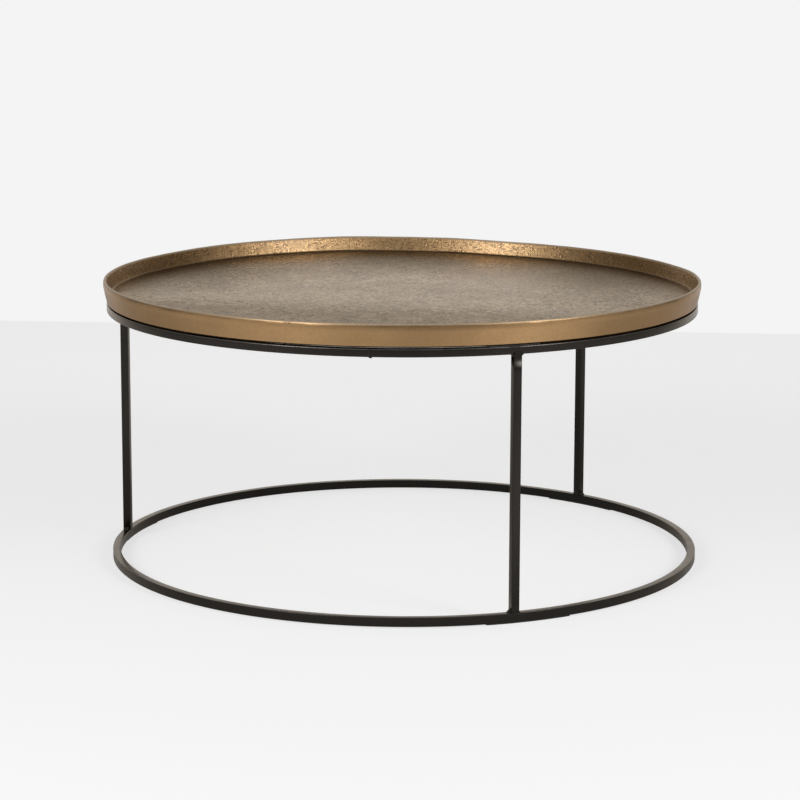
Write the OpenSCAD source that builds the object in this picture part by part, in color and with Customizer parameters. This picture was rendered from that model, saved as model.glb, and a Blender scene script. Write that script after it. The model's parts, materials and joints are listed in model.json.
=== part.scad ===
// Tray-top coffee table: a round cast brass tray that rests loose on a black frame of square bar.
// The frame is a top ring, three upright legs and a base ring, welded at every leg end.
// The origin is on the floor under the tray's centre, +Z is up, and one leg stands at the front (-Y).

/* [Overall] */
// Height from the floor to the top of the tray's lip
table_h = 360; // [300:1:480]
// Diameter over the tray's lip
tray_d = 760; // [700:1:900]

/* [Tray] */
// Depth from the top of the lip down to the tray's floor
tray_depth = 19; // [12:0.5:30]
// Thickness of the wall and of the rounded lip
wall_t = 5; // [4:0.25:6]
// Outward lean of the wall, in degrees from upright
wall_lean = 12; // [4:1:16]
// Thickness of the tray's floor
floor_t = 4; // [3:0.25:6]
// How far the foot rim reaches below the underside of the floor
foot_drop = 5; // [3:0.25:10]
// Radius of the fillet between the wall and the floor, inside
floor_fillet = 3; // [1.5:0.25:6]
// Radius of the fillet between the foot rim and the underside
foot_fillet = 1; // [0.5:0.25:1.5]
// Rounding of the foot rim's two edges
foot_edge_r = 0.8; // [0.3:0.1:1.5]

/* [Locating lugs under the tray] */
// Length of each lug around the circle, in degrees
lug_arc = 8; // [4:1:20]
// Thickness of each lug, measured along the radius
lug_t = 5; // [3:0.5:8]
// How far each lug reaches down inside the top ring
lug_reach = 4.5; // [2:0.5:8]
// Clearance between the lugs and the inside of the top ring
lug_clearance = 2; // [0.5:0.25:4]

/* [Frame] */
// Side of the square bar
bar = 10; // [8:0.5:14]
// Rounding of the bar's long edges
bar_edge_r = 0.8; // [0.4:0.1:1.5]
// How far the two rings stand out past the tray's foot rim
ring_proud = 0.4; // [0:0.1:2]
// Leg length of each weld bead, up the leg and along the ring
weld_leg = 3.5; // [2:0.25:5]
// Hollow of the beads' faces: 1 is a quarter circle, and larger is flatter
weld_hollow = 1.9; // [1:0.1:4]

/* [Closing weld of the top ring] */
// Direction of the weld, in degrees from +X
seam_angle = 244; // [0:0.5:360]
// Width of the bead around the ring
seam_w = 5; // [3:0.25:8]
// How far the bead stands out of the ring's outer face
seam_proud = 0.6; // [0.3:0.1:1.5]

/* [Pads and glides] */
// Thickness of the rest pads under the tray
pad_t = 1.5; // [1:0.1:4]
// Length of each rest pad around the circle, in degrees
pad_arc = 10; // [4:1:40]
// Thickness of the glide strips under the base ring
glide_t = 1.5; // [1:0.1:4]
// Length of each glide strip around the circle, in degrees
glide_arc = 17; // [6:1:60]
// Width of the pads and the glide strips
strip_w = 8; // [4:0.5:8]

/* [Hidden] */

// Directions of the legs, in degrees from +X. The right and left ones are welded
// 1.4 and 0.7 degrees off the even spacing.
front = 270;
right = 28.6;
left = 149.3;
// Directions of the lugs, each between two legs
lug_directions = [90, 210, 330];
// The glide strips are stuck on by hand, so each sits a little to one side of its leg
glide_shift_front = 3;
glide_shift_right = -1;
glide_shift_left = -6;

// Clearance that keeps the tray's foot rim from overlapping the pads it rests on
seat_gap = 0.02;

// Heights, from the floor up
tray_h = tray_depth + floor_t + foot_drop;
base_z = glide_t;
leg_z = base_z + bar;
tray_z = table_h - tray_h;
ring_top_z = tray_z - seat_gap - pad_t;
top_ring_z = ring_top_z - bar;
leg_h = top_ring_z - leg_z;
tray_floor_z = table_h - tray_depth;
tray_under_z = tray_floor_z - floor_t;

// The wall is a band of constant thickness along a leaning centre line, capped by the round lip
lip_r = wall_t / 2;
lip_centre = [tray_d / 2 - lip_r, table_h - lip_r];
wall_out = [cos(wall_lean), -sin(wall_lean)];
outer_foot = lip_centre + lip_r * wall_out;
inner_foot = lip_centre - lip_r * wall_out;

// Radius of the outer or inner face of the wall at height z, from a point on that face
function wall_r(point, z) = point[0] - tan(wall_lean) * (point[1] - z);

// Points along an arc from angle a to angle b
function arc(centre, radius, a, b, steps) =
    [for (i = [0:steps]) centre + radius * [cos(a + (b - a) * i / steps), sin(a + (b - a) * i / steps)]];

foot_outer_r = wall_r(outer_foot, tray_z);
foot_inner_r = foot_outer_r - wall_t;
fillet_run = floor_fillet * (1 - sin(wall_lean)) / cos(wall_lean);
fillet_r = wall_r(inner_foot, tray_floor_z) + fillet_run * sin(wall_lean) - floor_fillet * cos(wall_lean);

// Radii of the frame, and the flat width of a bar's face between its rounded edges
ring_outer_r = foot_outer_r + ring_proud;
ring_inner_r = ring_outer_r - bar;
bar_r = ring_outer_r - bar / 2;
strip_inner_r = bar_r - strip_w / 2;
flat_w = bar - 2 * bar_edge_r;

// Half section of the tray, from the axis out along the underside and back along the floor
tray_section = concat(
    [[0, tray_under_z]],
    arc([foot_inner_r - foot_fillet, tray_under_z - foot_fillet], foot_fillet, 90, 0, 4),
    arc([foot_inner_r + foot_edge_r, tray_z + foot_edge_r], foot_edge_r, 180, 270, 4),
    arc([foot_outer_r - foot_edge_r, tray_z + foot_edge_r], foot_edge_r, 270, 360 - wall_lean, 4),
    arc(lip_centre, lip_r, -wall_lean, 180 - wall_lean, 16),
    arc([fillet_r, tray_floor_z + floor_fillet], floor_fillet, -wall_lean, -90, 6),
    [[0, tray_floor_z]]
);

// Square bar section with rounded edges, centred on the origin
module bar_section() {
    inset = bar / 2 - bar_edge_r;
    polygon(concat(
        arc([inset, inset], bar_edge_r, 0, 90, 4),
        arc([-inset, inset], bar_edge_r, 90, 180, 4),
        arc([-inset, -inset], bar_edge_r, 180, 270, 4),
        arc([inset, -inset], bar_edge_r, 270, 360, 4)
    ));
}

// Band of rectangular section around the axis, centred on a direction
module arc_band(inner_r, thickness, z, height, direction, sweep) {
    rotate([0, 0, direction - sweep / 2])
        rotate_extrude(angle = sweep, $fn = 180)
            translate([inner_r, z])
                square([thickness, height]);
}

module tray() {
    color([0.60, 0.46, 0.30])
        union() {
            rotate_extrude($fn = 180)
                polygon(tray_section);
            for (direction = lug_directions)
                arc_band(
                    ring_inner_r - lug_clearance - lug_t, lug_t,
                    ring_top_z - lug_reach, tray_under_z - ring_top_z + lug_reach + floor_t / 2,
                    direction, lug_arc
                );
        }
}

module ring(z) {
    color([0.13, 0.125, 0.12])
        translate([0, 0, z + bar / 2])
            rotate_extrude($fn = 180)
                translate([bar_r, 0])
                    bar_section();
}

module leg(direction) {
    color([0.14, 0.13, 0.125])
        rotate([0, 0, direction])
            translate([bar_r, 0, leg_z])
                linear_extrude(leg_h)
                    bar_section();
}

// Fillet weld beads on the sides of a leg, against a ring face at height z.
// up is 1 where the beads stand on the face and -1 where they hang from it, mirrored.
module weld(direction, z, up) {
    color([0.11, 0.105, 0.10])
        rotate([0, 0, direction])
            for (side = [-1, 1])
                translate([bar_r - flat_w / 2, 0, z])
                    scale([1, side, up])
                        translate([0, bar / 2, 0])
                            rotate([90, 0, 90])
                                linear_extrude(flat_w)
                                    weld_section();
}

// Section of a bead: square to the leg and the ring, with a slightly hollow face
module weld_section() {
    centre = weld_leg * [weld_hollow, weld_hollow];
    face_r = norm(centre - [weld_leg, 0]);
    start = 180 + atan2(weld_hollow, weld_hollow - 1);
    end = 180 + atan2(weld_hollow - 1, weld_hollow);
    polygon(concat([[0, 0]], arc(centre, face_r, start, end, 6)));
}

// Bead across the ring's outer face, where the bar's two ends meet
module top_ring_seam() {
    sweep = seam_w / ring_outer_r * 180 / PI;
    color([0.11, 0.105, 0.10])
        arc_band(ring_outer_r, seam_proud, top_ring_z + bar_edge_r, flat_w, seam_angle, sweep);
}

module pad(direction) {
    color([0.05, 0.05, 0.05])
        arc_band(strip_inner_r, strip_w, ring_top_z, pad_t, direction, pad_arc);
}

module glide(direction) {
    color([0.05, 0.05, 0.05])
        arc_band(strip_inner_r, strip_w, 0, glide_t, direction, glide_arc);
}

tray();
ring(top_ring_z);  // top_ring
ring(base_z);  // base_ring
leg(front);  // leg_front
leg(right);  // leg_right
leg(left);  // leg_left
weld(front, top_ring_z, -1);  // weld_top_front
weld(right, top_ring_z, -1);  // weld_top_right
weld(left, top_ring_z, -1);  // weld_top_left
weld(front, leg_z, 1);  // weld_foot_front
weld(right, leg_z, 1);  // weld_foot_right
weld(left, leg_z, 1);  // weld_foot_left
top_ring_seam();
pad(front);  // pad_front
pad(right);  // pad_right
pad(left);  // pad_left
glide(front + glide_shift_front);  // glide_front
glide(right + glide_shift_right);  // glide_right
glide(left + glide_shift_left);  // glide_left
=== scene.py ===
"""A tray-top coffee table: a round cast tray in antique brass, loose on a black welded stand.

All lengths are in metres, in the CAD frame: the origin is on the floor under the tray's centre,
+Z is up and one leg stands at the front, on -Y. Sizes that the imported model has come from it.
"""

import itertools
import json
import math

import bmesh
import bpy
import numpy as np
from mathutils import Matrix, Vector

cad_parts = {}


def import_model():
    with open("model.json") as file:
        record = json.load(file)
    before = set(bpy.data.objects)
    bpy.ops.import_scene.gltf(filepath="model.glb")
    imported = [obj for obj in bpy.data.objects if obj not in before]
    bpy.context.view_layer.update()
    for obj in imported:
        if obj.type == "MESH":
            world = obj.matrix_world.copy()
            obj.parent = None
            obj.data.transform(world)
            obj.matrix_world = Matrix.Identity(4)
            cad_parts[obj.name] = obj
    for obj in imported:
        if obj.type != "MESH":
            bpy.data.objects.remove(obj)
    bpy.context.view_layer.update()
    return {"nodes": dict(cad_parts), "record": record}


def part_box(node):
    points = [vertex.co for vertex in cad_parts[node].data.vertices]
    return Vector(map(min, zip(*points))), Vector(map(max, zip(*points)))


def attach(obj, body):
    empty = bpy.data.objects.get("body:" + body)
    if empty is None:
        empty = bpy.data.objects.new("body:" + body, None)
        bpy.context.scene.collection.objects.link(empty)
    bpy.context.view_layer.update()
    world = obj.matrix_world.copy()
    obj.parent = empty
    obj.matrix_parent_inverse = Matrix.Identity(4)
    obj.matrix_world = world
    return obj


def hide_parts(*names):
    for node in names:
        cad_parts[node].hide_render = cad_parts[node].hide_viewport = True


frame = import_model()

# ---------------------------------------------------------------- sizes

MM = 0.001
LEGS = ("front", "right", "left")

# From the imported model
TRAY_LOW, TRAY_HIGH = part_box("tray")
RIM_Z = TRAY_HIGH.z
LUG_Z = TRAY_LOW.z
MOUNT_Z = next(m["pos_m"][2] for m in frame["record"]["mounts"] if m["name"] == "tray_floor")
RING_LOW, RING_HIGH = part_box("top_ring")
BASE_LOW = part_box("base_ring")[0]
RING_R = RING_HIGH.x
BAR = RING_HIGH.z - RING_LOW.z
BAR_R = RING_R - BAR / 2
PAD_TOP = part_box("pad_front")[1].z
# How far the foot sinks into the rubber pads
SQUEEZE = 0.3 * MM
FOOT_Z = round(PAD_TOP, 4) - SQUEEZE

# The casting
RIM_R = 0.38
WALL = 5.0 * MM
LEAN = 12.0
FLOOR_T = 4.0 * MM
FILLET = 3.5 * MM
FOOT_FILLET = 1.0 * MM
FOOT_EDGE = 0.5 * MM
# How far in and up the foot's outer edge is cut back
FOOT_CUT = (1.4 * MM, 1.05 * MM)
FLOOR_Z = MOUNT_Z - 0.6 * MM
UNDER_Z = FLOOR_Z - FLOOR_T
# Rounding of the lip's inner and outer corners
LIP_EDGE = 1.3 * MM
LIP_OUTER = 1.7 * MM
# The wall turns in by this much, from this height up
EASE = 1.6 * MM
EASE_Z = RIM_Z - 9.5 * MM
# The wall is outside this radius and the floor inside it
FOOT_LIMIT = RIM_R - 12 * MM
# The plate that makes the underside ends at this radius, where the foot begins
PLATE_R = 0.366
LUG_INNER = 0.358
LUG_OUTER = 0.363
LUG_ARC = 8.0
LUG_DIRECTIONS = (90.0, 210.0, 330.0)
TRAY_SEGMENTS = 1280
# Bands of rows across the underside and the floor: outer and inner radius, step, points round the circle
UNDER_BANDS = (
    (0.030, 0.024, 0.010, 40),
    (0.070, 0.040, 0.015, 80),
    (0.140, 0.085, 0.020, 160),
    (0.270, 0.160, 0.022, 320),
    (0.352, 0.285, 0.022, 640),
)
FLOOR_BANDS = (
    (0.3650, 0.2300, 0.009, 640),
    (0.2210, 0.1150, 0.009, 320),
    (0.1060, 0.0620, 0.009, 160),
    (0.0530, 0.0350, 0.009, 80),
    (0.0260, 0.0260, 1, 40),
    (0.0120, 0.0120, 1, 20),
)
# Depth of the dish in the floor
CROWN = -0.4 * MM
# Direction of a nub of metal left on the lip, in degrees
NUB = -130.8
# The tray sits all but centred on the top ring, which is itself a little off centre
TRAY_OFF = (-3.2 * MM, 1.2 * MM)
# Millimetres that the edge stands high or low, by direction in degrees
WARP = {
    0: -2.7,
    45: -2.7,
    62: -0.6,
    85: 1.3,
    105: 0.8,
    130: -0.7,
    195: -0.6,
    250: -0.1,
    320: 0.1,
    345: -1.0,
}

# The stand: rounding of the edges of the legs, the top ring and the base ring
BAR_EDGE = 0.6 * MM
RING_EDGE = 1.6 * MM
BASE_EDGE = 0.7 * MM
# The base ring is of slightly taller bar
BASE_TALLER = 0.9 * MM
# The top ring was welded a little off the legs' centre
RING_OFF = (-3.0 * MM, 1.1 * MM)
RING_SEGMENTS = 480
# How far a leg's ends are let into the rings
LET_IN = 3 * MM
STRIP_SEGMENTS = 72
# Sizes of the weld beads, clockwise and anticlockwise of their leg, in millimetres
BEADS = {
    "weld_top_front": (2.6, 2.8),
    "weld_top_right": (2.8, 2.4),
    "weld_top_left": (2.6, 2.6),
    "weld_foot_front": (4.4, 2.6),
    "weld_foot_right": (3.6, 2.8),
    "weld_foot_left": (3.4, 3.2),
}


# ---------------------------------------------------------------- repeatable noise


def hashed(cell, seed):
    """A repeatable number from 0 to 1 for each whole-numbered point."""
    n = cell[:, 0] * 73856093 ^ cell[:, 1] * 19349663 ^ cell[:, 2] * 83492791 ^ seed * 2654435761
    n &= 0xFFFFFFFF
    n = ((n ^ (n >> 15)) * 739982445) & 0xFFFFFFFF
    n = ((n ^ (n >> 12)) * 695872825) & 0xFFFFFFFF
    return ((n ^ (n >> 15)) & 0xFFFF) / 65535.0


def noise(points, size, seed):
    """Smooth noise from -1 to 1 whose features are about the given size."""
    scaled = points / size
    base = np.floor(scaled)
    within = scaled - base
    within = within * within * (3 - 2 * within)
    total = np.zeros(len(points))
    for corner in itertools.product((0, 1), repeat=3):
        weight = np.prod(np.where(corner, within, 1 - within), axis=1)
        total += weight * hashed(base.astype(np.int64) + corner, seed)
    return 2 * total - 1


def pits(points, size, seed):
    """Round pits scattered about one to a cell: 1 at the centre of a pit, 0 outside it."""
    scaled = points / size
    base = np.floor(scaled).astype(np.int64)
    nearest = np.full(len(points), 9.0)
    for offset in itertools.product((-1, 0, 1), repeat=3):
        cell = base + offset
        centre = cell + np.stack([hashed(cell, seed + k) for k in range(3)], axis=1)
        nearest = np.minimum(nearest, np.linalg.norm(scaled - centre, axis=1))
    return np.clip(1 - nearest / 0.7, 0, 1) ** 2


# ---------------------------------------------------------------- mesh helpers


def mesh_object(name, points, faces, attributes=None):
    """A smooth-shaded mesh object, with float attributes on its points."""
    mesh = bpy.data.meshes.new(name)
    mesh.from_pydata(np.asarray(points).tolist(), [], faces)
    for key, values in (attributes or {}).items():
        mesh.attributes.new(key, "FLOAT", "POINT").data.foreach_set("value", values.astype(np.float32))
    mesh.shade_smooth()
    mesh.update()
    made = bpy.data.objects.new(name, mesh)
    bpy.context.scene.collection.objects.link(made)
    return made


def arc(centre, radius, start, end, steps):
    """Points along an arc, in a plane, with its angles in degrees."""
    angles = np.radians(np.linspace(start, end, steps + 1))
    return [(centre[0] + radius * math.cos(a), centre[1] + radius * math.sin(a)) for a in angles]


def rounded_rectangle(width, height, radius, steps=5):
    """Outline of a rectangle with rounded corners, centred on the origin, anticlockwise."""
    x, y = width / 2 - radius, height / 2 - radius
    corners = ((x, y, 0), (-x, y, 90), (-x, -y, 180), (x, -y, 270))
    points = [p for cx, cy, a in corners for p in arc((cx, cy), radius, a, a + 90, steps)]
    return np.array(points)


def swept(name, outlines, places, closed, attributes=None):
    """A tube through outlines set in places. Each place is an origin and the outline's two axes."""
    points = np.concatenate(
        [o + outline[:, :1] * u + outline[:, 1:] * v for outline, (o, u, v) in zip(outlines, places)]
    )
    rows, around = len(places), len(outlines[0])
    faces = []
    for i in range(rows if closed else rows - 1):
        a, b = i * around, (i + 1) % rows * around
        for j in range(around):
            k = (j + 1) % around
            faces.append((a + j, a + k, b + k, b + j))
    if not closed:
        faces.append(tuple(reversed(range(around))))
        faces.append(tuple(range((rows - 1) * around, rows * around)))
    return mesh_object(name, points, faces, attributes)


def round_place(radius, height, angle):
    """The place of an upright outline at an angle round the axis: out and up."""
    out = np.array([math.cos(angle), math.sin(angle), 0.0])
    return out * radius + np.array([0, 0, height]), out, np.array([0, 0, 1.0])


def node_directions(node):
    """The middle direction of a CAD node seen from the axis, and half the angle it spans, in radians."""
    co = np.array([v.co for v in frame["nodes"][node].data.vertices])
    middle = math.atan2(co[:, 1].mean(), co[:, 0].mean())
    turned = (np.arctan2(co[:, 1], co[:, 0]) - middle + math.pi) % (2 * math.pi) - math.pi
    return middle + (turned.max() + turned.min()) / 2, (turned.max() - turned.min()) / 2


def place(piece, body, slot, material, *nodes):
    """The piece takes its material, rides on its body and stands for its CAD nodes."""
    piece.data.materials.append(material)
    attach(piece, body)
    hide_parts(*nodes)
    return piece


# ---------------------------------------------------------------- material helpers


def set_inputs(tree, node, inputs):
    """Gives a shader node its inputs, which are values or other nodes' sockets."""
    for key, value in inputs.items():
        if isinstance(value, bpy.types.NodeSocket):
            tree.links.new(value, node.inputs[key])
        else:
            node.inputs[key].default_value = value


def add(tree, kind, inputs=None, **settings):
    """A new shader node, with its inputs and its own settings."""
    made = tree.nodes.new(kind)
    for key, value in settings.items():
        setattr(made, key, value)
    set_inputs(tree, made, inputs or {})
    return made


def mixed(tree, factor, a, b, blend="MIX"):
    """Colour a to colour b by factor."""
    sockets = {0: factor, 6: a, 7: b}
    return add(tree, "ShaderNodeMix", sockets, data_type="RGBA", blend_type=blend).outputs[2]


def maths(tree, operation, *values):
    """One arithmetic step."""
    return add(tree, "ShaderNodeMath", dict(enumerate(values)), operation=operation).outputs[0]


def ranged(tree, value, low, high, to_low, to_high):
    """Value mapped from one range to another, and held at its ends."""
    sockets = {"Value": value, "From Min": low, "From Max": high, "To Min": to_low, "To Max": to_high}
    return add(tree, "ShaderNodeMapRange", sockets).outputs[0]


def grain(tree, where, scale, detail=2.0, roughness=0.5, distortion=0.0):
    """Noise from 0 to 1, with scale in features per metre."""
    sockets = {
        "Vector": where,
        "Scale": scale,
        "Detail": detail,
        "Roughness": roughness,
        "Distortion": distortion,
    }
    return add(tree, "ShaderNodeTexNoise", sockets).outputs[0]


def times(tree, a, b):
    """Product of two values."""
    return maths(tree, "MULTIPLY", a, b)


def along(tree, where, direction):
    """How far a place lies along a direction."""
    sockets = {0: where, 1: direction}
    return add(tree, "ShaderNodeVectorMath", sockets, operation="DOT_PRODUCT").outputs["Value"]


def stretched(tree, where, factors):
    """A place with each of its coordinates multiplied."""
    return add(tree, "ShaderNodeVectorMath", {0: where, 1: factors}, operation="MULTIPLY").outputs[0]


def part(tree, name):
    """A float attribute that the mesh carries."""
    return add(tree, "ShaderNodeAttribute", attribute_name=name).outputs["Fac"]


def principled(name):
    """A new material: its tree, its shader and object coordinates."""
    material = bpy.data.materials.new(name)
    material.use_nodes = True
    tree = material.node_tree
    shader = tree.nodes["Principled BSDF"]
    where = add(tree, "ShaderNodeTexCoord").outputs["Object"]
    return material, tree, shader, where


def bumped(tree, height):
    """A normal from a height in millimetres."""
    sockets = {"Strength": 1.0, "Distance": MM, "Height": height}
    return add(tree, "ShaderNodeBump", sockets).outputs[0]


# ---------------------------------------------------------------- materials

# Directions across the tray: to its far side, where the floor takes painted shade mirrored from the wall,
# and to the two sides where the floor is made darker
FAR_SIDE = (0.349, 0.937, 0.0)
DARKER_SIDE_FIRST = (-0.530, -0.848, 0.0)
DARKER_SIDE_SECOND = (0.937, -0.349, 0.0)
# The metal's tint when seen at a flat angle
OUTER_EDGE = (0.74, 0.70, 0.66, 1)
INNER_EDGE = (0.775, 0.700, 0.610, 1)
FLOOR_EDGE = (0.645, 0.585, 0.515, 1)
RAW_SHADE_EDGE = (0.35, 0.28, 0.20, 1)
COAT_EDGE = (1.0, 0.89, 0.77, 1)
# The patina on the floor, a darker tone for two of its sides, and painted shade where the floor mirrors the
# wall
PATINA_DARK = (0.310, 0.243, 0.170, 1)
PATINA_LIGHT = (0.650, 0.530, 0.385, 1)
# Painted shade: the dark wall as mirrored in the floor
MIRRORED_WALL_SHADE = (0.045, 0.031, 0.019, 1)
# Darker tone for two sides of the floor
DARKER_SIDES_TONE = (0.235, 0.176, 0.118, 1)
PATINA_WARM = (0.360, 0.268, 0.175, 1)
# The wall, outside and in, the lip rubbed bright on it, and painted shade in the corner at its foot
WALL_DARK = (0.350, 0.210, 0.096, 1)
WALL_LIGHT = (0.425, 0.258, 0.119, 1)
WALL_PIT = (0.235, 0.135, 0.057, 1)
WALL_PEAK = (0.740, 0.480, 0.235, 1)
LIP_RUBBED = (0.56, 0.49, 0.38, 1)
# Painted shade for the corner where the floor meets the wall
CORNER_SHADE = (0.030, 0.018, 0.008, 1)
# The raw underside and foot: the metal's own dark brown, and on the foot's cut-back edge painted shade for
# the gap under the tray
RAW_SHADE_DARK = (0.030, 0.020, 0.011, 1)
RAW_SHADE_LIGHT = (0.062, 0.041, 0.023, 1)
# The stand's powder coat, and the painted highlight on the rings' outer top edges
COAT_DARK = (0.015, 0.0126, 0.0104, 1)
COAT_LIGHT = (0.025, 0.0214, 0.0178, 1)
# Painted highlight for the rings' outer top edge
COAT_EDGE_HIGHLIGHT = (0.30, 0.275, 0.245, 1)
RUBBER_DARK = (0.012, 0.012, 0.012, 1)
RUBBER_DUSTY = (0.026, 0.025, 0.024, 1)
FELT_DARK = (0.010, 0.009, 0.008, 1)
FELT_LIGHT = (0.034, 0.031, 0.028, 1)


def antique_brass(name, lacquer, edge, gloss=0.0):
    """Cast brass: satin gold-brown walls, pitted inside, and a grey-brown patina on the floor.

    Lacquer is the weight of the clear coat, edge the tint at a flat angle, and gloss is taken off the
    roughness."""
    material, tree, shader, where = principled(name)
    floor, inner = part(tree, "floor_part"), part(tree, "inner_part")
    # The corner mask carries painted shade: it darkens the floor in the corner at the foot of the wall
    lip, corner = part(tree, "lip_part"), part(tree, "corner_shade_part")

    cloud = grain(tree, where, 7.0, 4.0, 0.6, 0.6)
    smudge = grain(tree, where, 38.0, 6.0, 0.68, 0.8)
    streak = grain(tree, where, 13.0, 7.0, 0.70, 0.7)
    fleck = grain(tree, where, 520.0, 2.0)
    pebble = grain(tree, where, 260.0, 3.0, 0.75)
    laid = stretched(tree, where, (1.0, 1.0, 1.8))
    sand = grain(tree, laid, 450.0, 3.0, 0.75)
    pock = ranged(tree, grain(tree, laid, 210.0, 1.0), 0.30, 0.40, 0.0, 1.0)

    tone = ranged(tree, cloud, 0.35, 0.65, 0.0, 1.0)
    wall = mixed(tree, tone, WALL_DARK, WALL_LIGHT)
    patina = mixed(tree, ranged(tree, streak, 0.36, 0.64, 0.0, 1.0), PATINA_DARK, PATINA_LIGHT)
    smudged = ranged(tree, smudge, 0.34, 0.62, 0.0, 0.55)
    patina = mixed(tree, smudged, patina, PATINA_WARM)
    # The floor is made darker towards two sides, with streaky edges
    darker_sides = two_darker_sides(tree, where, streak)
    # Painted reflection and shade: the floor darkened towards its far side, most beside the wall, where it
    # mirrors the dark wall
    mirrored_wall_shade, dull = painted_wall_reflection(tree, where, streak)
    patina = mixed(tree, times(tree, darker_sides, 0.6), patina, DARKER_SIDES_TONE)
    patina = mixed(tree, times(tree, mirrored_wall_shade, 0.92), patina, MIRRORED_WALL_SHADE)
    sanded = ranged(tree, sand, 0.36, 0.64, 0.0, 1.0)
    peak = times(tree, sanded, ranged(tree, pock, 0.0, 1.0, 0.3, 1.0))
    wall = mixed(tree, inner, wall, mixed(tree, peak, WALL_PIT, WALL_PEAK))
    patina = mixed(tree, 1.0, patina, ranged(tree, pebble, 0.34, 0.66, 0.30, 1.70), "MULTIPLY")
    colour = mixed(tree, floor, wall, patina)
    bright = mixed(tree, times(tree, lip, 0.75), colour, LIP_RUBBED)
    # Painted shade: the floor darkened in the corner beside the wall
    dark = mixed(tree, times(tree, corner, 0.90), bright, CORNER_SHADE)
    colour = mixed(tree, 1.0, dark, ranged(tree, fleck, 0.3, 0.7, 0.90, 1.08), "MULTIPLY")

    rough = ranged(tree, smudge, 0.3, 0.7, 0.28 - gloss, 0.36 - gloss)
    less = maths(tree, "SUBTRACT", 0.16, times(tree, darker_sides, 0.20))
    less = maths(tree, "SUBTRACT", less, dull)
    less = maths(tree, "ADD", less, ranged(tree, pebble, 0.34, 0.66, -0.07, 0.07))
    rough = maths(tree, "SUBTRACT", rough, times(tree, floor, less))
    rough = maths(tree, "ADD", rough, times(tree, lip, 0.40))

    rough_cast = maths(tree, "ADD", times(tree, sand, 0.43), times(tree, pock, 0.22))
    inner_height = times(tree, rough_cast, inner)
    aside = along(tree, where, FAR_SIDE)
    depth = times(tree, pebble, ranged(tree, aside, -0.12, 0.20, 0.24, 0.05))
    floor_height = times(tree, depth, floor)
    skin = times(tree, grain(tree, where, 230.0, 3.0), 0.012)
    height = maths(tree, "ADD", maths(tree, "ADD", inner_height, floor_height), skin)

    set_inputs(
        tree,
        shader,
        {
            "Base Color": colour,
            "Roughness": rough,
            "Metallic": 1.0,
            "Specular Tint": edge,
            "Coat Weight": lacquer,
            "Coat Roughness": 0.30,
            "Normal": bumped(tree, height),
        },
    )
    return material


def raw_casting_shade():
    """The foot and the underside as they left the sand: a dull skin, browned nearly black. On the foot's
    cut-back edge the near-black also stands in for the shadowed gap under the tray, as painted shade.
    """
    material, tree, shader, where = principled("raw_casting_shade")
    sand = grain(tree, where, 420.0, 3.0, 0.7)
    cloud = grain(tree, where, 22.0, 4.0)
    colour = mixed(tree, cloud, RAW_SHADE_DARK, RAW_SHADE_LIGHT)
    colour = mixed(tree, 1.0, colour, ranged(tree, sand, 0.3, 0.7, 0.75, 1.30), "MULTIPLY")
    rough = ranged(tree, sand, 0.3, 0.7, 0.55, 0.72)
    set_inputs(
        tree,
        shader,
        {
            "Base Color": colour,
            "Roughness": rough,
            "Metallic": 1.0,
            "Specular Tint": RAW_SHADE_EDGE,
            "Normal": bumped(tree, times(tree, sand, 0.20)),
        },
    )
    return material


def two_darker_sides(tree, where, streak):
    """How much darker the floor is made, from 0 to 1: darker towards two sides, with streaky edges."""
    stray = times(tree, maths(tree, "SUBTRACT", streak, 0.5), 0.16)
    first = maths(tree, "ADD", along(tree, where, DARKER_SIDE_FIRST), stray)
    second = maths(tree, "ADD", along(tree, where, DARKER_SIDE_SECOND), stray)
    first = ranged(tree, first, 0.09, 0.18, 0.0, 0.85)
    second = ranged(tree, second, 0.12, 0.25, 0.0, 0.45)
    return maths(tree, "MAXIMUM", first, second)


def painted_wall_reflection(tree, where, streak):
    """Painted reflection and shade on the floor where it mirrors the dark wall, and how much it dulls the
    metal.

    It grows from the middle to the foot of the wall, on the side of FAR_SIDE. It is strongest straight
    that way and beside the wall, and weaker in a band on each side, where the wall's highlights are
    mirrored."""
    level = stretched(tree, where, (1, 1, 0))
    radius = add(tree, "ShaderNodeVectorMath", {0: level}, operation="LENGTH").outputs["Value"]
    stray = times(tree, maths(tree, "SUBTRACT", streak, 0.5), 0.10)
    near = ranged(tree, maths(tree, "ADD", radius, stray), 0.12, 0.370, 0.0, 1.0)
    across = maths(tree, "ADD", along(tree, where, DARKER_SIDE_SECOND), stray)
    across = maths(tree, "ABSOLUTE", across)
    middle = ranged(tree, across, 0.05, 0.11, 1.0, 0.45)
    middle = maths(tree, "MAXIMUM", middle, ranged(tree, across, 0.16, 0.24, 0.45, 0.90))
    weight = ranged(tree, along(tree, where, FAR_SIDE), -0.06, 0.15, 0.10, 1.0)
    mirrored_wall_shade = times(tree, maths(tree, "POWER", near, 1.15), weight)
    beside_wall = ranged(tree, radius, 0.30, 0.355, 0.0, 1.0)
    mirrored_wall_shade = times(tree, mirrored_wall_shade, maths(tree, "MAXIMUM", middle, beside_wall))
    dull = times(tree, mirrored_wall_shade, ranged(tree, radius, 0.25, 0.32, 0.42, 0.18))
    return mirrored_wall_shade, dull


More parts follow.
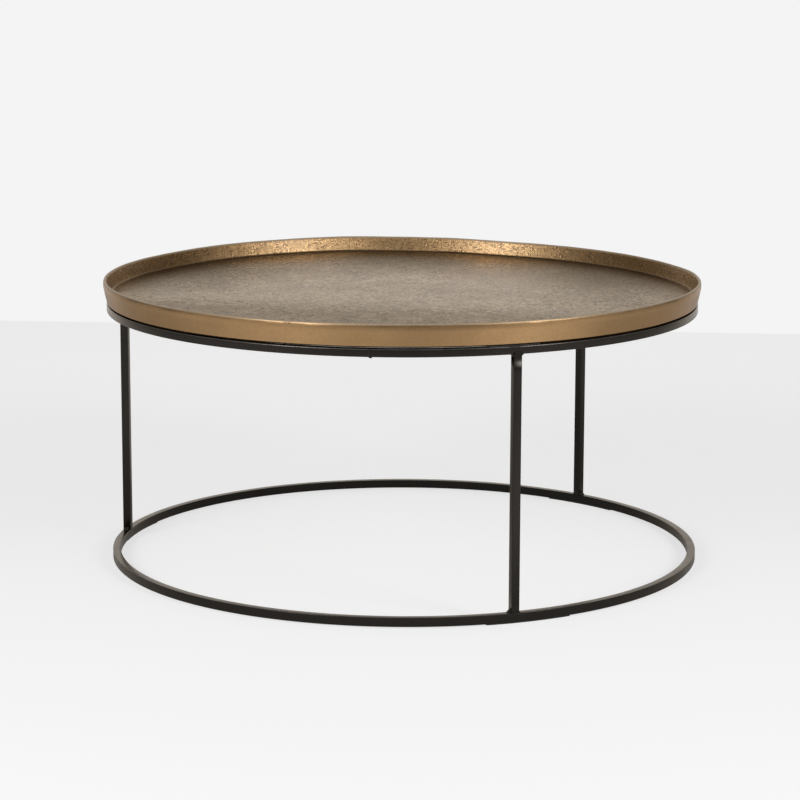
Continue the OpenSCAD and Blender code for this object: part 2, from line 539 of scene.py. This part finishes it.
def powder_coat(name, roughness, peel):
    """Charcoal-black powder coat, with its roughness and the height of its orange peel in millimetres."""
    material, tree, shader, where = principled(name)
    cloud = grain(tree, where, 26.0, 4.0, 0.6)
    fine = grain(tree, where, 900.0, 2.0)
    colour = mixed(tree, cloud, COAT_DARK, COAT_LIGHT)
    # Painted highlight: the coat lightened along the rings' outer top edge, away from the legs
    edge_highlight = times(tree, part(tree, "edge_highlight_part"), ranged(tree, cloud, 0.3, 0.6, 0.30, 0.60))
    colour = mixed(tree, edge_highlight, colour, COAT_EDGE_HIGHLIGHT)
    rough = ranged(tree, cloud, 0.3, 0.7, roughness - 0.05, roughness + 0.06)
    set_inputs(
        tree,
        shader,
        {
            "Base Color": colour,
            "Roughness": rough,
            "Metallic": 0.8,
            "Specular IOR Level": 0.30,
            "Specular Tint": COAT_EDGE,
            "Coat Weight": 0.22,
            "Coat Roughness": 0.20,
            "Normal": bumped(tree, times(tree, fine, peel)),
        },
    )
    return material


def rubber():
    """Black rubber with a little dust on it."""
    material, tree, shader, where = principled("rubber")
    dust = grain(tree, where, 160.0, 4.0)
    colour = mixed(tree, dust, RUBBER_DARK, RUBBER_DUSTY)
    rough = ranged(tree, dust, 0.3, 0.7, 0.58, 0.72)
    height = times(tree, grain(tree, where, 1500.0), 0.04)
    set_inputs(tree, shader, {"Base Color": colour, "Roughness": rough, "Normal": bumped(tree, height)})
    return material


def felt():
    """Black felt with a short nap."""
    material, tree, shader, where = principled("felt")
    fibre = grain(tree, where, 1400.0, 4.0, 0.7, 1.5)
    colour = mixed(tree, fibre, FELT_DARK, FELT_LIGHT)
    rough = ranged(tree, fibre, 0.3, 0.7, 0.86, 0.98)
    height = times(tree, fibre, 0.25)
    set_inputs(
        tree,
        shader,
        {"Base Color": colour, "Roughness": rough, "Sheen Weight": 0.35, "Normal": bumped(tree, height)},
    )
    return material


# ---------------------------------------------------------------- the tray


def tray_rows():
    """The tray's half section: from the middle of the underside out, up, over the lip and along the floor.

    Each row is (radius, height, zone, points round the circle)."""
    lean = math.radians(LEAN)
    outer_top = (RIM_R, RIM_Z - LIP_OUTER)
    inner_top = (RIM_R - WALL / math.cos(lean), RIM_Z - LIP_EDGE)

    def wall_r(top, z):
        return top[0] - math.tan(lean) * (top[1] - z)

    def wall(top, low, high, count, zone):
        return [(wall_r(top, z), z, zone, TRAY_SEGMENTS) for z in np.linspace(low, high, count)]

    def curve(points, zone):
        return [(r, z, zone, TRAY_SEGMENTS) for r, z in points]

    def eased(row):
        r, z, zone, segments = row
        return r - EASE * max(0.0, (z - EASE_Z) / (outer_top[1] - EASE_Z)) ** 2, z, zone, segments

    def flat(outer, inner, step, z, zone, segments):
        count = max(1, round((outer - inner) / step))
        return [(r, z, zone, segments) for r in np.linspace(outer, inner, count + 1)]

    foot_outer = wall_r(outer_top, FOOT_Z)
    foot_inner = foot_outer - WALL
    run = FILLET * (1 - math.sin(lean)) / math.cos(lean)
    fillet_r = wall_r(inner_top, FLOOR_Z) + run * math.sin(lean) - FILLET * math.cos(lean)
    fillet = arc((fillet_r, FLOOR_Z + FILLET), FILLET, -LEAN, -90, 6)

    rows = flat(0.012, 0.012, 1, UNDER_Z, "under", 20)
    for outer, inner, step, segments in UNDER_BANDS:
        rows += reversed(flat(outer, inner, step, UNDER_Z, "under", segments))
    for r in (LUG_INNER - 1.2 * MM, LUG_INNER, LUG_OUTER, LUG_OUTER + 1.2 * MM, 0.3665):
        rows.append((r, UNDER_Z, "under", 640))
    rows += curve(arc((foot_inner - FOOT_FILLET, UNDER_Z - FOOT_FILLET), FOOT_FILLET, 90, 0, 3), "foot")
    rows += curve(arc((foot_inner + FOOT_EDGE, FOOT_Z + FOOT_EDGE), FOOT_EDGE, 180, 270, 3), "foot")
    cut_r = foot_outer - FOOT_CUT[0]
    cut_z = FOOT_Z + FOOT_CUT[1]
    rows += curve([(cut_r - 0.5 * MM, FOOT_Z), (cut_r - 0.1 * MM, FOOT_Z)], "foot")
    rows += curve([(cut_r, FOOT_Z + 0.05 * MM), (cut_r + 0.7 * MM, FOOT_Z + 0.53 * MM)], "foot")
    rows += curve([(wall_r(outer_top, cut_z) - 0.08 * MM, cut_z - 0.06 * MM)], "foot")
    rows += curve([(wall_r(outer_top, cut_z + 0.1 * MM), cut_z + 0.1 * MM)], "foot")
    rows += curve([(wall_r(outer_top, cut_z + 0.5 * MM), cut_z + 0.5 * MM)], "outer")
    rows += [eased(row) for row in wall(outer_top, cut_z + 1.6 * MM, outer_top[1] - 1.0 * MM, 11, "outer")]
    rows += curve(lip_line(outer_top, inner_top), "lip")
    rows += wall(inner_top, inner_top[1] - 1.2 * MM, fillet[0][1] + 1.2 * MM, 10, "inner")
    rows += curve(fillet, "fillet")
    for outer, inner, step, segments in FLOOR_BANDS:
        rows += flat(outer, inner, step, FLOOR_Z, "floor", segments)
    return rows


def lip_line(outer_top, inner_top):
    """The lip's section: a narrow flat top, with a rounded corner on each side."""
    outer = arc((outer_top[0] - EASE - LIP_OUTER, outer_top[1]), LIP_OUTER, 9, 88, 5)
    inner = arc((inner_top[0] + LIP_EDGE, inner_top[1]), LIP_EDGE, 92, 180 - LEAN, 4)
    top = np.linspace(outer[-1], inner[0], 5)[1:-1].tolist()
    return outer + top + inner


def row_normals(rows):
    """Outward normals of the half section, as (radius, height)."""
    line = np.array([(r, z) for r, z, _, _ in rows])
    line = np.vstack([[0, line[0, 1]], line, [0, line[-1, 1]]])
    along = line[2:] - line[:-2]
    along /= np.linalg.norm(along, axis=1)[:, None]
    return np.stack([along[:, 1], -along[:, 0]], axis=1)


def tray_faces(rows):
    """Faces between rows, where the next row may have the same number of points, twice or half."""
    counts = [row[3] for row in rows]
    starts = np.concatenate([[0], np.cumsum(counts)]).tolist()
    faces = []
    for i in range(len(rows) - 1):
        a, b, m, n = starts[i], starts[i + 1], counts[i], counts[i + 1]
        if m == n:
            faces += [(a + j, a + (j + 1) % m, b + (j + 1) % m, b + j) for j in range(m)]
        elif n == 2 * m:
            for j in range(m):
                k, f = (j + 1) % m, 2 * j
                faces.append((a + j, b + f + 1, b + f))
                faces.append((a + j, a + k, b + f + 1))
                faces.append((a + k, b + (f + 2) % n, b + f + 1))
        else:
            for j in range(n):
                k, f = (j + 1) % n, 2 * j
                faces.append((a + f, a + f + 1, b + j))
                faces.append((a + f + 1, b + k, b + j))
                faces.append((a + f + 1, a + (f + 2) % m, b + k))
    faces.append(tuple(reversed(range(starts[0], starts[1]))))
    faces.append(tuple(range(starts[-2], starts[-1])))
    return faces


def ramp(values, low, high):
    """0 below low, 1 above high, and smooth between."""
    t = np.clip((values - low) / (high - low), 0, 1)
    return t * t * (3 - 2 * t)


def lug_drop(radius, angle):
    """How far the underside is drawn down at the lugs."""
    drop = np.zeros(len(radius))
    for direction in LUG_DIRECTIONS:
        turned = np.abs((np.degrees(angle) - direction + 180) % 360 - 180)
        inside = (turned < LUG_ARC / 2) & (radius > LUG_INNER - 0.1 * MM) & (radius < LUG_OUTER + 0.1 * MM)
        drop[inside] = UNDER_Z - LUG_Z
    return drop


def relief(flat, zone):
    """How far the sand-cast surface stands proud of a true one, at points in each zone."""
    heights = {
        "under": 0.25 * noise(flat, 0.030, 11),
        "foot": 0.05 * noise(flat, 0.015, 12),
        "outer": 0.10 * noise(flat, 0.040, 13) + 0.03 * noise(flat, 0.009, 14),
        "lip": 0.16 * noise(flat, 0.022, 15) + 0.08 * noise(flat, 0.007, 16),
        "inner": 0.05 * noise(flat, 0.016, 17)
        + 0.05 * noise(flat, 0.0055, 18)
        - 0.13 * pits(flat, 0.0050, 19) * (noise(flat, 0.02, 24) > 0.1),
        "fillet": 0.08 * noise(flat, 0.007, 20),
        "floor": 0.06 * noise(flat, 0.085, 21) + 0.010 * noise(flat, 0.025, 22),
    }
    push = np.zeros(len(flat))
    for name, values in heights.items():
        push[zone == name] = values[zone == name] * MM
    return push


def nub(angle, height):
    """How far a small nub of metal stands out of the lip."""
    aside = np.abs((np.degrees(angle) - NUB + 180) % 360 - 180) * math.radians(1) * RIM_R / (2.6 * MM)
    down = (height - (RIM_Z - 2.0 * MM)) / (1.7 * MM)
    return 0.9 * MM * np.exp(-(aside**2) - down**2)


def lift(radius, height, angle, zone):
    """How far the casting is out of true: its edge stands high or low, and its plate is dished."""
    plate = (zone == "floor") | ((zone == "under") & (radius < PLATE_R))
    up = ramp(height, FLOOR_Z - 6 * MM, FLOOR_Z + 1 * MM) * (radius > FOOT_LIMIT) * ~plate
    edge = 0.95 * ramp(radius, 0.05, 0.31) * plate
    return np.maximum(up, edge) * warped(angle) + plate * CROWN * (1 - 2 * (radius / 0.371) ** 2)


def finish_parts(radius, height, zone, faces_in):
    """How much of each stretch of the finish a point carries, from 0 to 1."""
    inside = np.isin(zone, ("inner", "fillet", "floor")) | ((zone == "lip") & faces_in)
    above = height - FLOOR_Z
    # Painted shade: darkest on the floor right at the foot of the wall, fading within a few millimetres of
    # it
    beside_wall = ramp(radius - (RIM_R - 0.0115), -0.008, 0.0)
    corner_shade = np.exp(-((np.maximum(above, 0) / (3.0 * MM)) ** 2)) * beside_wall
    return {
        "floor_part": inside * (1 - ramp(above, 0.2 * MM, 2.2 * MM)),
        "inner_part": (zone != "lip") * inside * ramp(above, 0.3 * MM, 2.5 * MM),
        "lip_part": (zone != "under") * (radius > FOOT_LIMIT) * ramp(height, RIM_Z - 2.2 * MM, RIM_Z),
        "corner_shade_part": (zone == "foot") + (zone == "floor") * corner_shade,
    }


def tray(outside, wall, floor, raw):
    """The casting as one closed mesh, with a material each for outside, inner wall, floor and underside."""
    rows = tray_rows()
    normals = row_normals(rows)
    counts = np.array([row[3] for row in rows])
    index = np.repeat(np.arange(len(rows)), counts)
    angle = np.concatenate([np.arange(n) * 2 * math.pi / n for n in counts])
    radius = np.array([row[0] for row in rows])[index]
    height = np.array([row[1] for row in rows])[index]
    zone = np.array([row[2] for row in rows])[index]
    normal = normals[index]
    flat = np.stack([radius * np.cos(angle), radius * np.sin(angle), height], axis=1)

    push = relief(flat, zone)
    push += nub(angle, height) * (np.isin(zone, ("outer", "lip")) & (normal[:, 0] > 0))

    points = flat + np.array([TRAY_OFF[0], TRAY_OFF[1], 0.0])
    points[:, 0] += push * normal[:, 0] * np.cos(angle)
    points[:, 1] += push * normal[:, 0] * np.sin(angle)
    points[:, 2] += push * normal[:, 1] + lift(radius, height, angle, zone)
    under = zone == "under"
    points[under, 2] -= lug_drop(radius, angle)[under]

    parts = finish_parts(radius, height, zone, normal[:, 0] < 0)
    made = mesh_object("tray", points, tray_faces(rows), parts)
    place(made, "tray", "antique_brass", outside, "tray")
    for more in (wall, floor, raw):
        made.data.materials.append(more)
    kinds = [zone == "inner", np.isin(zone, ("fillet", "floor")), np.isin(zone, ("under", "foot"))]
    slots = np.select(kinds, [1, 2, 3], 0)
    starts = [polygon.vertices[0] for polygon in made.data.polygons]
    made.data.polygons.foreach_set("material_index", slots[starts].astype(np.int32))
    return made


def warped(angle):
    """How far the casting's edge is out of true, at each angle round it."""
    places, heights = zip(*sorted(WARP.items()))
    turned = (np.degrees(angle) - places[0]) % 360
    places = np.array(places + (places[0] + 360,)) - places[0]
    heights = np.array(heights + (heights[0],))
    index = np.searchsorted(places, turned, side="right") - 1
    t = ramp(turned, places[index], places[index + 1])
    return (heights[index] * (1 - t) + heights[index + 1] * t) * MM


# ---------------------------------------------------------------- the stand


def off_centre(made):
    """Moves a mesh with the top ring."""
    made.data.transform(Matrix.Translation((RING_OFF[0], RING_OFF[1], 0.0)))


def ring(name, low, taller, edge, highlight, material):
    """A ring of square bar, rolled by hand and so never quite true.

    Taller is how much the bar is higher than wide, edge the rounding of its edges, and highlight how
    strongly a painted highlight lightens the coat on the outer top edge, except near the legs."""
    outline = rounded_rectangle(BAR, BAR + taller, edge)
    places = []
    turns = np.arange(RING_SEGMENTS) * 2 * math.pi / RING_SEGMENTS
    for angle in turns:
        wobble = 0.10 * MM * math.sin(3 * angle + low * 9) + 0.06 * MM * math.sin(7 * angle + 1.3)
        places.append(round_place(BAR_R + wobble, low + (BAR + taller) / 2, angle))
    # Painted highlight along the outer top edge of the bar
    edge_highlight = np.zeros(len(outline))
    edge_highlight[:6] = (0.0, 0.6, 1.0, 0.5, 0.0, 0.0)
    clear = np.ones(RING_SEGMENTS)
    for leg_name in LEGS:
        away = (turns - node_directions(f"leg_{leg_name}")[0] + math.pi) % (2 * math.pi) - math.pi
        clear *= ramp(np.abs(away) * BAR_R, 5.5 * MM, 11 * MM)
    parts = {"edge_highlight_part": highlight * (clear[:, None] * edge_highlight).ravel()}
    made = swept(name, [outline] * RING_SEGMENTS, places, True, parts)
    if name == "top_ring":
        off_centre(made)
    return place(made, "frame", "powder_coat", material, name)


def leg(name, material):
    """An upright bar that stands square to the rings, with its ends let into them."""
    low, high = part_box(name)
    angle, _ = node_directions(name)
    out = np.array([math.cos(angle), math.sin(angle), 0.0])
    side = np.array([-math.sin(angle), math.cos(angle), 0.0])
    outline = rounded_rectangle(BAR, BAR, BAR_EDGE)
    heights = np.linspace(low.z - LET_IN, high.z + LET_IN, 14)
    places = [(out * BAR_R + np.array([0, 0, z]), out, side) for z in heights]
    made = swept(name, [outline] * len(places), places, closed=False)
    return place(made, "frame", "powder_coat", material, name)


def bead_outline(size, bulge):
    """Section of a weld bead: away from the leg is first, and along the leg is second."""
    sunk = -0.25 * MM
    face = []
    for t in np.linspace(0, 1, 9):
        swell = bulge * math.sin(math.pi * t) - 0.10 * size * math.sin(math.pi * t)
        face.append((size * (1 - t) + swell, size * t + swell))
    return np.array([(sunk, sunk), (size, sunk)] + face + [(sunk, size)])


def beads(name, sizes, material):
    """The weld beads on both sides of a leg's end, with their sizes in millimetres."""
    low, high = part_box(name)
    angle, _ = node_directions(name.replace("weld_top", "leg").replace("weld_foot", "leg"))
    out = np.array([math.cos(angle), math.sin(angle), 0.0])
    side = np.array([-math.sin(angle), math.cos(angle), 0.0])
    rise = np.array([0, 0, 1.0 if "foot" in name else -1.0])
    face_z = low.z + BASE_TALLER if "foot" in name else high.z
    pieces = []
    for turn, size in zip((-1, 1), sizes):
        outlines, places = [], []
        for t in np.linspace(-1, 1, 25):
            ripple = 0.10 * math.sin(t * 11 + turn) + 0.05 * math.sin(t * 23)
            taper = 1 - 0.45 * abs(t) ** 5
            outlines.append(bead_outline(size * MM * taper * (1 + 0.06 * ripple), (0.22 + ripple) * MM))
            corner = out * (BAR_R + t * (BAR / 2 - 0.5 * MM)) + side * turn * BAR / 2
            places.append((corner + np.array([0, 0, face_z]), side * turn, rise))
        pieces.append(swept(f"{name}_{len(pieces)}", outlines, places, closed=False))
    joined = join(pieces, name + "_bead")
    return place(joined, "frame", "powder_coat", material, name)


def join(pieces, name):
    """Several mesh objects as one, with faces turned outward."""
    points, faces, start = [], [], 0
    for piece in pieces:
        mesh = piece.data
        points += [tuple(v.co) for v in mesh.vertices]
        faces += [tuple(start + i for i in p.vertices) for p in mesh.polygons]
        start += len(mesh.vertices)
        bpy.data.objects.remove(piece)
    made = mesh_object(name, points, faces)
    return outward(made)


def outward(made):
    """Turns a mesh's faces to point out of it."""
    work = bmesh.new()
    work.from_mesh(made.data)
    bmesh.ops.recalc_face_normals(work, faces=work.faces)
    work.to_mesh(made.data)
    work.free()
    return made


def seam(material):
    """The closing weld of the top ring: a low uneven bead across its outer face."""
    low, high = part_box("top_ring_seam")
    middle, half = node_directions("top_ring_seam")
    out = np.array([math.cos(middle), math.sin(middle), 0.0])
    side = np.array([-math.sin(middle), math.cos(middle), 0.0])
    outlines, places = [], []
    for t in np.linspace(-1, 1, 15):
        height = (low.z + high.z) / 2 + t * (high.z - low.z) / 2
        width = half * RING_R * (0.85 + 0.12 * math.sin(5 * t + 1)) * (1 - 0.3 * abs(t) ** 4)
        proud = 0.55 * MM * (1 - 0.5 * abs(t) ** 6) * (1 + 0.18 * math.sin(9 * t))
        front = [(u * width, proud * (1 - u * u) - 0.05 * MM) for u in np.linspace(-1, 1, 17)]
        back = [(width, -0.4 * MM), (-width, -0.4 * MM)]
        outlines.append(np.array(front + back))
        places.append((out * RING_R + np.array([0, 0, height]), side, out))
    bead = swept("seam_face", outlines, places, closed=False)
    hanging = drop(out * (RING_R - 1.6 * MM) + np.array([0, 0, RING_LOW.z]), side)
    made = join([bead, hanging], "top_ring_seam_bead")
    off_centre(made)
    return place(made, "frame", "powder_coat", material, "top_ring_seam")


def drop(where, way):
    """A bead of weld metal left hanging, longer than it is wide and laid one way."""
    outlines, places = [], []
    for t in np.linspace(-0.98, 0.98, 13):
        size = 1.3 * MM * math.sqrt(1 - t * t) * (1 + 0.1 * math.sin(4 * t))
        turn = np.radians(np.arange(0, 360, 24))
        outlines.append(size * np.stack([np.cos(turn), np.sin(turn)], axis=1))
        places.append((where + way * t * 2.2 * MM, np.array([0, 0, 1.0]), np.cross(way, [0, 0, 1.0])))
    return swept("drop", outlines, places, closed=False)


def strip(node, slot, material, edge, ragged):
    """A flat strip round the circle, with rounded edges and a more or less ragged width."""
    low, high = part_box(node)
    middle, half = node_directions(node)
    inner = min(math.hypot(v.co.x, v.co.y) for v in frame["nodes"][node].data.vertices)
    width = 2 * (BAR_R - inner)
    less = SQUEEZE if slot == "rubber" else 0.0
    thick = high.z - low.z - less
    outlines, places = [], []
    for i, t in enumerate(np.linspace(-1, 1, STRIP_SEGMENTS)):
        end = 1 - 0.5 * max(0.0, (abs(t) - 0.985) / 0.015) ** 2
        shake = 1 + ragged * math.sin(i * 2.3) * math.sin(i * 0.7)
        outlines.append(rounded_rectangle(width * end * shake, thick, edge))
        places.append(round_place(BAR_R, (low.z + high.z - less) / 2, middle + t * half))
    made = swept(node + "_strip", outlines, places, closed=False)
    if slot == "rubber":
        off_centre(made)
    return place(made, "frame", slot, material, node)


# ---------------------------------------------------------------- camera, light and stage

CAMERA_AZIMUTH = -20.44
CAMERA_REACH = 3.548
CAMERA_HEIGHT = 0.883
CAMERA_PITCH = 10.912
CAMERA_PAN = 0.094
CAMERA_ROLL = 0.16
CAMERA_LENS = 126.7
SENSOR = 36.0

# Both softboxes stand at this height in degrees and at this distance from the tray
KEY_RISE = 21
KEY_DISTANCE = 3.2

# Brightness of the room's low and high walls, of the wall behind the camera, and of what else it holds
ROOM_LOW = 0.060
ROOM_HIGH = 0.40
ROOM_BEHIND = 0.24
FLOORBOARDS = 0.88
PAPER = 0.88
CEILING = 0.70
GLOW = 0.9

# The paper on the floor: how far it reaches from the table, and how askew its far edge lies
FLOOR_BACK = 1.765
FLOOR_SKEW = 0.09
FLOOR_FRONT = 1.25
FLOOR_SIDE = 1.05


def heading(azimuth):
    """Unit vector from the table towards an azimuth, on the level."""
    a = math.radians(azimuth)
    return Vector((math.sin(a), -math.cos(a), 0.0))


def camera():
    """A long lens a little above the tray, level but for a slight roll."""
    data = bpy.data.cameras.new("camera")
    data.lens, data.sensor_width = CAMERA_LENS, SENSOR
    made = bpy.data.objects.new("camera", data)
    bpy.context.scene.collection.objects.link(made)
    made.location = heading(CAMERA_AZIMUTH) * CAMERA_REACH + Vector((0, 0, CAMERA_HEIGHT))
    turn = Matrix.Rotation(math.radians(CAMERA_AZIMUTH + CAMERA_PAN), 3, "Z")
    tilt = Matrix.Rotation(math.radians(90 - CAMERA_PITCH), 3, "X")
    roll = Matrix.Rotation(math.radians(CAMERA_ROLL), 3, "Z")
    made.rotation_euler = (turn @ tilt @ roll).to_euler()
    bpy.context.scene.camera = made


def softbox(name, azimuth, elevation, distance, size, power):
    """A square soft light that faces the tray."""
    data = bpy.data.lights.new(name, "AREA")
    data.shape, data.size, data.energy = "SQUARE", size, power
    made = bpy.data.objects.new(name, data)
    bpy.context.scene.collection.objects.link(made)
    e = math.radians(elevation)
    way = heading(azimuth) * math.cos(e) + Vector((0, 0, math.sin(e)))
    made.location = way * distance + Vector((0, 0, RIM_Z))
    made.rotation_euler = way.to_track_quat("Z", "Y").to_euler()
    made.visible_camera = False


def world():
    """The studio. The camera sees pale wall; the metal sees white paper behind it and a dark room around.

    Matt surfaces are lit from low down all round, as by light bounced off the walls."""
    scene_world = bpy.data.worlds.new("studio")
    bpy.context.scene.world = scene_world
    scene_world.use_nodes = True
    tree = scene_world.node_tree
    tree.nodes.clear()
    way = add(tree, "ShaderNodeTexCoord").outputs["Generated"]
    front = along(tree, way, heading(CAMERA_AZIMUTH))
    rise = add(tree, "ShaderNodeSeparateXYZ", {0: way}).outputs["Z"]
    level = maths(tree, "SQRT", maths(tree, "SUBTRACT", 1.0, times(tree, rise, rise)))
    ahead = maths(tree, "DIVIDE", front, level)
    paper = ranged(tree, ahead, -0.88, -0.60, 1.0, 0.0)
    paper = times(tree, paper, ranged(tree, rise, 0.38, 0.62, 1.0, 0.0))
    boards = mixed(tree, ranged(tree, ahead, -0.1, 0.25, 0.0, 1.0), grey(0.56), grey(FLOORBOARDS))
    boards = mixed(tree, ranged(tree, ahead, 0.60, 0.95, 0.0, 1.0), boards, grey(0.58))
    walls = mixed(tree, ranged(tree, rise, 0.20, 0.60, 0.0, 1.0), grey(ROOM_LOW), grey(ROOM_HIGH))
    behind = ranged(tree, ahead, 0.0, 0.4, 0.0, 1.0)
    behind = times(tree, behind, ranged(tree, rise, 0.16, 0.30, 1.0, 0.0))
    walls = mixed(tree, behind, walls, grey(ROOM_BEHIND))
    room = mixed(tree, ranged(tree, rise, -0.04, 0.02, 0.0, 1.0), boards, walls)
    room = mixed(tree, paper, room, grey(PAPER))
    room = mixed(tree, ranged(tree, rise, 0.70, 0.90, 0.0, 1.0), room, grey(CEILING))
    glow = mixed(tree, ranged(tree, rise, 0.42, 0.66, 0.0, 1.0), grey(GLOW), grey(0.02))
    path = add(tree, "ShaderNodeLightPath")
    seen = mixed(tree, path.outputs["Is Diffuse Ray"], room, glow)
    seen = mixed(tree, path.outputs["Is Camera Ray"], seen, grey(0.905))
    back = add(tree, "ShaderNodeBackground", {"Color": seen})
    output = add(tree, "ShaderNodeOutputWorld")
    tree.links.new(back.outputs[0], output.inputs["Surface"])


def grey(value):
    """A neutral colour."""
    return (value, value, value, 1)


def stage_floor():
    """White paper on the floor, lit so evenly that only faint shadows show on it."""
    back, side = -heading(CAMERA_AZIMUTH), heading(CAMERA_AZIMUTH + 90)
    corners = [
        back * y + side * x
        for x, y in (
            (-FLOOR_SIDE, -FLOOR_FRONT),
            (FLOOR_SIDE, -FLOOR_FRONT),
            (FLOOR_SIDE, FLOOR_BACK - FLOOR_SKEW),
            (-FLOOR_SIDE, FLOOR_BACK + FLOOR_SKEW),
        )
    ]
    made = mesh_object("stage_floor", [tuple(c) for c in corners], [(0, 1, 2, 3)])
    made.data.materials.append(stage_paper(back))


def stage_paper(back):
    """Paper that glows as evenly as it is lit, with dim pools of the softboxes for metal to mirror."""
    material = bpy.data.materials.new("stage_paper")
    material.use_nodes = True
    tree = material.node_tree
    tree.nodes.clear()
    where = add(tree, "ShaderNodeTexCoord").outputs["Object"]
    far = along(tree, where, back)
    bright = mixed(tree, ranged(tree, far, -0.9, 0.3, 0.0, 1.0), grey(1.32), grey(1.29))
    bright = mixed(tree, ranged(tree, far, 0.25, 1.4, 0.0, 1.0), bright, grey(1.34))
    # For what the metal mirrors, the paper carries painted light: brighter in front of the table and again
    # far behind it, dimmer between, with painted pools of light in front of each softbox
    mirrored = ranged(tree, far, -0.70, -0.05, 1.05, 0.38)
    mirrored = maths(tree, "MAXIMUM", mirrored, ranged(tree, far, 0.35, 0.60, 0.38, 0.75))
    for azimuth, more in ((39, 1.05), (-44, 0.64)):
        pool = tuple(heading(CAMERA_AZIMUTH + azimuth) * 0.98)
        away = add(tree, "ShaderNodeVectorMath", {0: where, 1: pool}, operation="DISTANCE")
        near = ranged(tree, away.outputs["Value"], 0.15, 0.42, 1 + more, 1.0)
        mirrored = times(tree, mirrored, near)
    path = add(tree, "ShaderNodeLightPath")
    bright = mixed(tree, path.outputs["Is Glossy Ray"], bright, mirrored)
    glow = add(tree, "ShaderNodeEmission", {"Color": bright})
    paper = add(tree, "ShaderNodeBsdfDiffuse", {"Color": grey(0.85)})
    both = add(tree, "ShaderNodeMixShader", {0: 0.50, 1: glow.outputs[0], 2: paper.outputs[0]})
    output = add(tree, "ShaderNodeOutputMaterial")
    tree.links.new(both.outputs[0], output.inputs["Surface"])
    return material


# ---------------------------------------------------------------- build

camera()
world()
stage_floor()
softbox("key_right", CAMERA_AZIMUTH + 49, KEY_RISE, KEY_DISTANCE, size=0.92, power=29)
softbox("key_left", CAMERA_AZIMUTH - 41, KEY_RISE, KEY_DISTANCE, size=1.00, power=31.5)
bpy.context.scene.view_settings.view_transform = "Standard"

tray(
    antique_brass("antique_brass", lacquer=0.22, edge=OUTER_EDGE),
    antique_brass("antique_brass_wall", lacquer=0.40, edge=INNER_EDGE, gloss=0.035),
    antique_brass("antique_brass_floor", lacquer=0.12, edge=FLOOR_EDGE),
    raw_casting_shade(),
)

coat = powder_coat("powder_coat", roughness=0.29, peel=0.030)
weld_coat = powder_coat("powder_coat_weld", roughness=0.27, peel=0.060)
ring("top_ring", RING_LOW.z, taller=0.0, edge=RING_EDGE, highlight=0.75, material=coat)
ring("base_ring", BASE_LOW.z, taller=BASE_TALLER, edge=BASE_EDGE, highlight=0.2, material=coat)
for leg_name in LEGS:
    leg(f"leg_{leg_name}", coat)
for bead_name, bead_sizes in BEADS.items():
    beads(bead_name, bead_sizes, weld_coat)
seam(weld_coat)

pad_rubber, glide_felt = rubber(), felt()
for leg_name in LEGS:
    strip(f"pad_{leg_name}", "rubber", pad_rubber, edge=0.3 * MM, ragged=0.0)
    strip(f"glide_{leg_name}", "felt", glide_felt, edge=0.45 * MM, ragged=0.03)
